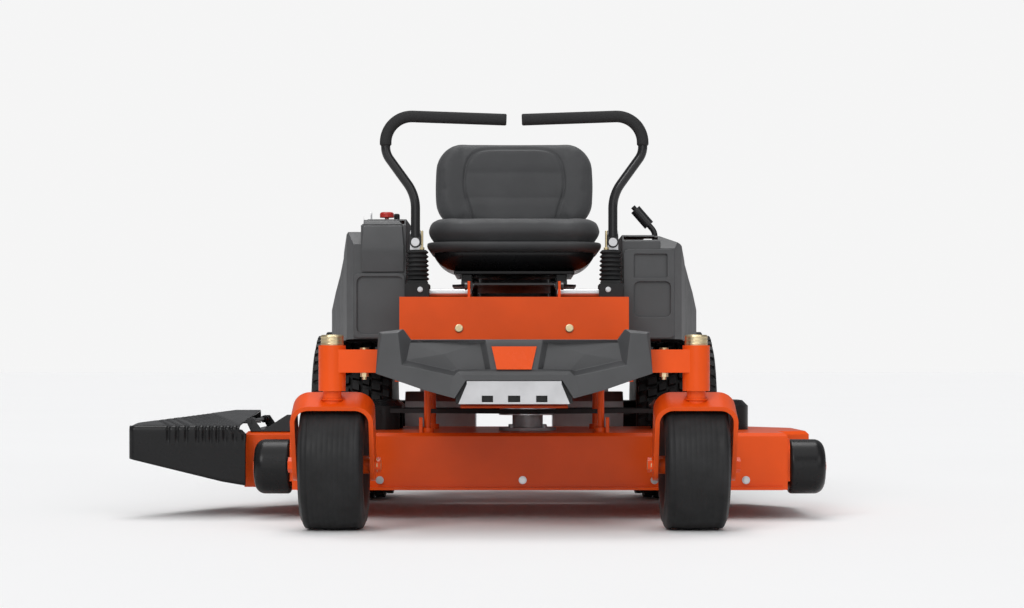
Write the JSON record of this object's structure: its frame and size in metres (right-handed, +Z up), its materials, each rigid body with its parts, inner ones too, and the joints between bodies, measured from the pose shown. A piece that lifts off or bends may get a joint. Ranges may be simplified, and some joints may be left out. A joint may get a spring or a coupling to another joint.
{
  "type": "zero turn mower",
  "caption": "Zero turn riding mower with swivelling front casters, twin steering levers, a bucket seat and a lifting side-discharge deck.",
  "frame": {"origin": "bottom centre of the whole machine's box, on the ground", "axes": "+Z up; the machine drives towards -Y; +X is the operator's left, away from the discharge side"},
  "size_m": [1.656, 1.85, 0.9708],
  "materials": {
    "orange_paint": "gloss orange powder coat",
    "black_paint": "satin black paint",
    "grey_plastic": "fine grained dark grey moulding",
    "badge_orange": "gloss orange, bare",
    "bright_plate": "brushed bright plate",
    "yellow_zinc": "yellow zinc plated steel",
    "black_plastic": "semi gloss black moulding",
    "red_plastic": "gloss red moulding",
    "rubber": "matt black rubber",
    "foam": "black foam grip",
    "tyre": "black tyre rubber",
    "rim_paint": "black painted rim",
    "steel": "bare or zinc plated steel",
    "cast_metal": "cast aluminium",
    "vinyl": "dark grey grained vinyl"
  },
  "bodies": {
    "chassis": {"front_beam": "orange_paint", "caster_bearings": "yellow_zinc", "main_frame": "orange_paint", "engine_guard": "black_paint", "floor_pan": "black_paint", "frame_bolts": "yellow_zinc", "seat_platform": "orange_paint", "control_boot_right": "rubber", "control_boot_left": "rubber", "bumper_cover": "grey_plastic", "skid_plate": "bright_plate", "badge_plate": "badge_orange", "console_right": "grey_plastic", "console_left": "grey_plastic", "fuel_tank": "black_plastic", "transaxles": "cast_metal", "engine_block": "cast_metal", "engine_shroud": "black_plastic", "muffler": "steel", "air_cleaner": "black_plastic", "battery": "black_plastic"},
    "caster_left": {"caster_fork_left": "orange_paint"},
    "caster_right": {"caster_fork_right": "orange_paint"},
    "front_wheel_left": {"front_tyre_left": "tyre", "front_rim_left": "rim_paint"},
    "front_wheel_right": {"front_tyre_right": "tyre", "front_rim_right": "rim_paint"},
    "rear_wheel_left": {"rear_tyre_left": "tyre", "rear_rim_left": "rim_paint"},
    "rear_wheel_right": {"rear_tyre_right": "tyre", "rear_rim_right": "rim_paint"},
    "input_left": {"input_pulley_left": "black_paint"},
    "input_right": {"input_pulley_right": "black_paint"},
    "control_left": {"control_arm_left": "steel"},
    "control_right": {"control_arm_right": "steel"},
    "lever_left": {"steering_lever_left": "black_paint", "lever_grip_left": "foam"},
    "lever_right": {"steering_lever_right": "black_paint", "lever_grip_right": "foam"},
    "crank": {"crankshaft": "steel"},
    "seat_tilt": {"seat_base": "black_paint"},
    "seat": {"seat_pan": "black_plastic", "seat_cushion": "vinyl", "seat_back": "vinyl"},
    "knob": {"blade_knob": "red_plastic"},
    "key": {"ignition_key": "steel"},
    "throttle": {"throttle_lever": "black_plastic"},
    "cap": {"fuel_cap": "black_plastic"},
    "lift": {"lift_lever": "black_paint"},
    "lift_thumb": {"lift_button": "black_plastic"},
    "deck": {"deck_shell": "orange_paint", "deck_spindles": "cast_metal", "belt_covers": "black_plastic", "deflector_hinge": "black_paint"},
    "blade_l": {"blade_left": "steel"},
    "blade_c": {"blade_centre": "steel"},
    "blade_r": {"blade_right": "steel"},
    "roller_l": {"deck_roller_left": "black_plastic"},
    "roller_r": {"deck_roller_right": "black_plastic"},
    "chute": {"deflector": "black_plastic"}
  },
  "joints": [
    {"name": "caster_swivel_right", "type": "hinge", "parent": "chassis", "child": "caster_right", "pos_m": [-0.307, -0.84, 0.404], "axis": [0, 0, 1], "continuous": true},
    {"name": "front_wheel_spin_right", "type": "hinge", "parent": "caster_right", "child": "front_wheel_right", "pos_m": [-0.307, -0.775, 0.142], "axis": [1, 0, 0], "continuous": true},
    {"name": "caster_swivel_left", "type": "hinge", "parent": "chassis", "child": "caster_left", "pos_m": [0.483, -0.84, 0.404], "axis": [0, 0, 1], "continuous": true},
    {"name": "front_wheel_spin_left", "type": "hinge", "parent": "caster_left", "child": "front_wheel_left", "pos_m": [0.483, -0.775, 0.142], "axis": [1, 0, 0], "continuous": true},
    {"name": "rear_wheel_spin_right", "type": "hinge", "parent": "chassis", "child": "rear_wheel_right", "pos_m": [-0.3455, 0.415, 0.2285], "axis": [1, 0, 0], "continuous": true},
    {"name": "drive_control_right", "type": "hinge", "parent": "chassis", "child": "control_right", "pos_m": [-0.147, -0.375, 0.5345], "axis": [1, 0, 0], "range_deg": [-14, 20], "deforming": ["control_boot_right"]},
    {"name": "park_swing_right", "type": "hinge", "parent": "control_right", "child": "lever_right", "pos_m": [-0.147, -0.375, 0.655], "axis": [0, -1, 0], "range_deg": [0, 20]},
    {"name": "rear_wheel_spin_left", "type": "hinge", "parent": "chassis", "child": "rear_wheel_left", "pos_m": [0.5215, 0.415, 0.2285], "axis": [1, 0, 0], "continuous": true},
    {"name": "drive_control_left", "type": "hinge", "parent": "chassis", "child": "control_left", "pos_m": [0.323, -0.375, 0.5345], "axis": [1, 0, 0], "range_deg": [-14, 20], "deforming": ["control_boot_left"]},
    {"name": "park_swing_left", "type": "hinge", "parent": "control_left", "child": "lever_left", "pos_m": [0.323, -0.375, 0.655], "axis": [0, 1, 0], "range_deg": [0, 20]},
    {"name": "crank_spin", "type": "hinge", "parent": "chassis", "child": "crank", "pos_m": [0.088, 0.605, 0.325], "axis": [0, 0, 1], "continuous": true},
    {"name": "input_spin_right", "type": "hinge", "parent": "chassis", "child": "input_right", "pos_m": [-0.072, 0.445, 0.292], "axis": [0, 0, 1], "continuous": true},
    {"name": "input_spin_left", "type": "hinge", "parent": "chassis", "child": "input_left", "pos_m": [0.248, 0.445, 0.292], "axis": [0, 0, 1], "continuous": true},
    {"name": "seat_tip", "type": "hinge", "parent": "chassis", "child": "seat_tilt", "pos_m": [0.088, -0.407, 0.549], "axis": [1, 0, 0], "range_deg": [0, 45]},
    {"name": "seat_slide", "type": "slide", "parent": "seat_tilt", "child": "seat", "axis": [0, -1, 0], "range_m": [-0.03, 0.04]},
    {"name": "blade_knob_pull", "type": "slide", "parent": "chassis", "child": "knob", "axis": [0, 0, 1], "range_m": [0, 0.012]},
    {"name": "key_turn", "type": "hinge", "parent": "chassis", "child": "key", "pos_m": [-0.26, -0.265, 0.713], "axis": [0, 0, 1], "range_deg": [-60, 45]},
    {"name": "throttle_swing", "type": "hinge", "parent": "chassis", "child": "throttle", "pos_m": [-0.202, -0.185, 0.672], "axis": [1, 0, 0], "range_deg": [-20, 20]},
    {"name": "fuel_cap_turn", "type": "hinge", "parent": "chassis", "child": "cap", "pos_m": [0.468, 0.355, 0.618], "axis": [0, 0, 1], "range_deg": [0, 120]},
    {"name": "deck_lift", "type": "slide", "parent": "chassis", "child": "deck", "axis": [0, 0, 1], "range_m": [-0.045, 0.025]},
    {"name": "lift_lever_swing", "type": "hinge", "parent": "chassis", "child": "lift", "pos_m": [0.433, -0.155, 0.43], "axis": [1, 0, 0], "range_deg": [-29, 17]},
    {"name": "lift_button_press", "type": "slide", "parent": "lift", "child": "lift_thumb", "axis": [0.6574, 0, -0.7536], "range_m": [0, 0.006], "stiffness_N_per_m": 900, "springref_m": -0.002},
    {"name": "blade_spin_r", "type": "hinge", "parent": "deck", "child": "blade_r", "pos_m": [-0.309, -0.083, 0.203], "axis": [0, 0, 1], "continuous": true},
    {"name": "blade_spin_c", "type": "hinge", "parent": "deck", "child": "blade_c", "pos_m": [0.121, -0.218, 0.203], "axis": [0, 0, 1], "continuous": true},
    {"name": "blade_spin_l", "type": "hinge", "parent": "deck", "child": "blade_l", "pos_m": [0.551, -0.083, 0.203], "axis": [0, 0, 1], "continuous": true},
    {"name": "roller_spin_r", "type": "hinge", "parent": "deck", "child": "roller_r", "pos_m": [-0.484, -0.395, 0.122], "axis": [1, 0, 0], "continuous": true},
    {"name": "roller_spin_l", "type": "hinge", "parent": "deck", "child": "roller_l", "pos_m": [0.781, -0.395, 0.122], "axis": [1, 0, 0], "continuous": true},
    {"name": "deflector_lift", "type": "hinge", "parent": "deck", "child": "chute", "pos_m": [-0.55, -0.396, 0.226], "axis": [0, 1, 0], "range_deg": [0, 75]}
  ],
  "couplings": [
    {"joint": "lift_lever_swing", "follows": "deck_lift", "rad_per_m": 10.86},
    {"joint": "blade_spin_r", "follows": "blade_spin_c", "ratio": 1},
    {"joint": "blade_spin_l", "follows": "blade_spin_c", "ratio": 1},
    {"joint": "input_spin_right", "follows": "crank_spin", "ratio": 1.15},
    {"joint": "input_spin_left", "follows": "crank_spin", "ratio": 1.15}
  ]
}
